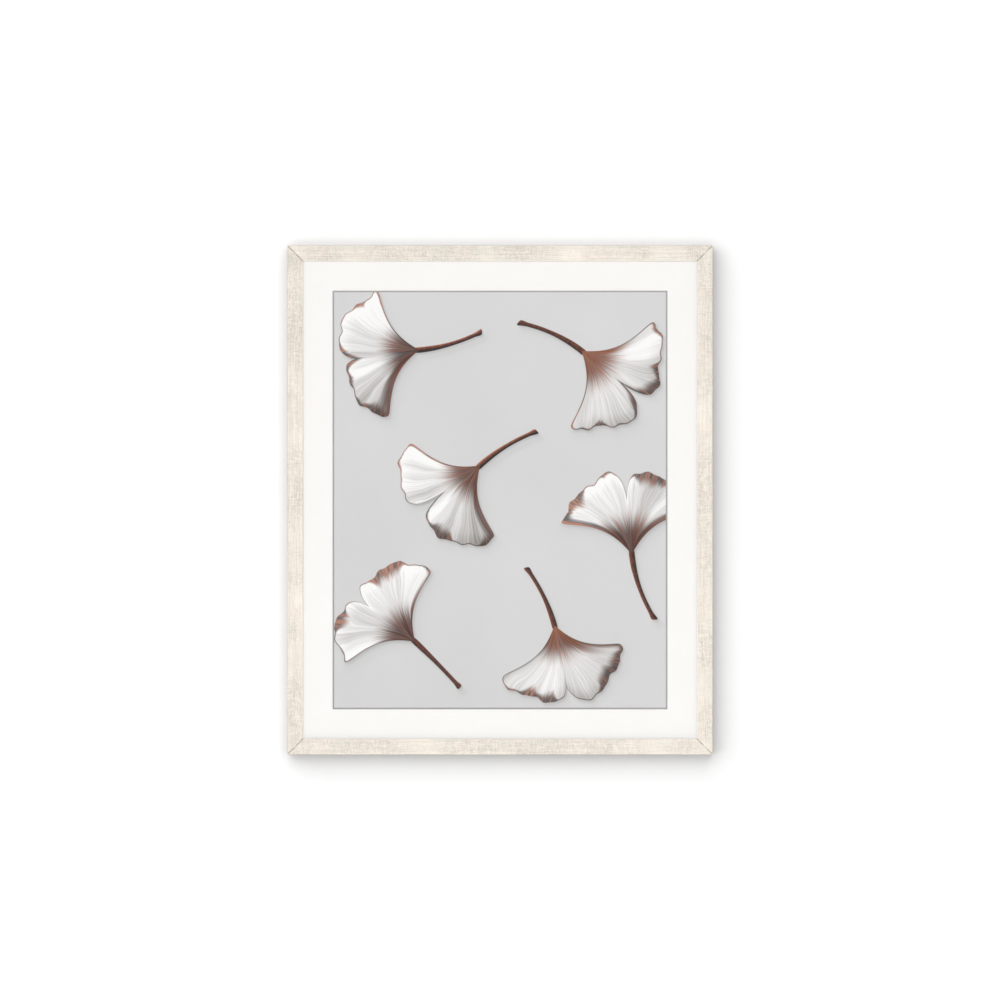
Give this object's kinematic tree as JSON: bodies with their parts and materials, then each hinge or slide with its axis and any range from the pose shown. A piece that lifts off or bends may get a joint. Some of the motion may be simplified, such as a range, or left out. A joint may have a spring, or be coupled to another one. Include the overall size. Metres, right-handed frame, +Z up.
{
  "type": "framed art print",
  "caption": "Upright framed art print under glass: pale champagne-leafed wooden frame, wide off-white mat and a plain leaf print, hung on the wall by a sawtooth hanger.",
  "frame": {"origin": "the top of the middle notch in the sawtooth hanger's lower edge, where the wall nail carries the picture", "axes": "+Z up, +X to the right of someone who looks at the picture, +Y from the picture into the wall"},
  "size_m": [0.5154, 0.025, 0.617],
  "materials": {
    "leafed_wood": "pale champagne leaf rubbed along the rail, satin, with bare pine behind",
    "picture_glass": "clear polished picture glass, 2 mm",
    "mat_card": "off-white mat board, matt, fine even tooth",
    "art_paper": "matt art paper printed with pale leaves on light grey",
    "foam_card": "white foam-cored board",
    "hardboard": "brown pressed hardboard, matt, mottled fibres",
    "spring_steel": "bright stamped steel",
    "plated_steel": "thin brass plating on stamped steel",
    "clear_rubber": "cloudy clear soft pad"
  },
  "bodies": {
    "root": {"backing_board": "hardboard", "bumper_left": "clear_rubber", "bumper_right": "clear_rubber", "hanger_nail_left": "plated_steel", "hanger_nail_right": "plated_steel", "mount_board": "foam_card", "picture_glass": "picture_glass", "point_bottom_1": "spring_steel", "point_bottom_2": "spring_steel", "point_bottom_3": "spring_steel", "point_bottom_4": "spring_steel", "point_left_1": "spring_steel", "point_left_2": "spring_steel", "point_left_3": "spring_steel", "point_left_4": "spring_steel", "point_right_1": "spring_steel", "point_right_2": "spring_steel", "point_right_3": "spring_steel", "point_right_4": "spring_steel", "point_top_1": "spring_steel", "point_top_2": "spring_steel", "point_top_3": "spring_steel", "point_top_4": "spring_steel", "print_sheet": "art_paper", "rail_bottom": "leafed_wood", "rail_left": "leafed_wood", "rail_right": "leafed_wood", "rail_top": "leafed_wood", "sawtooth_hanger": "plated_steel", "v_nail_bottom_left_1": "spring_steel", "v_nail_bottom_left_2": "spring_steel", "v_nail_bottom_right_1": "spring_steel", "v_nail_bottom_right_2": "spring_steel", "v_nail_top_left_1": "spring_steel", "v_nail_top_left_2": "spring_steel", "v_nail_top_right_1": "spring_steel", "v_nail_top_right_2": "spring_steel", "window_mat": "mat_card"}
  },
  "joints": []
}
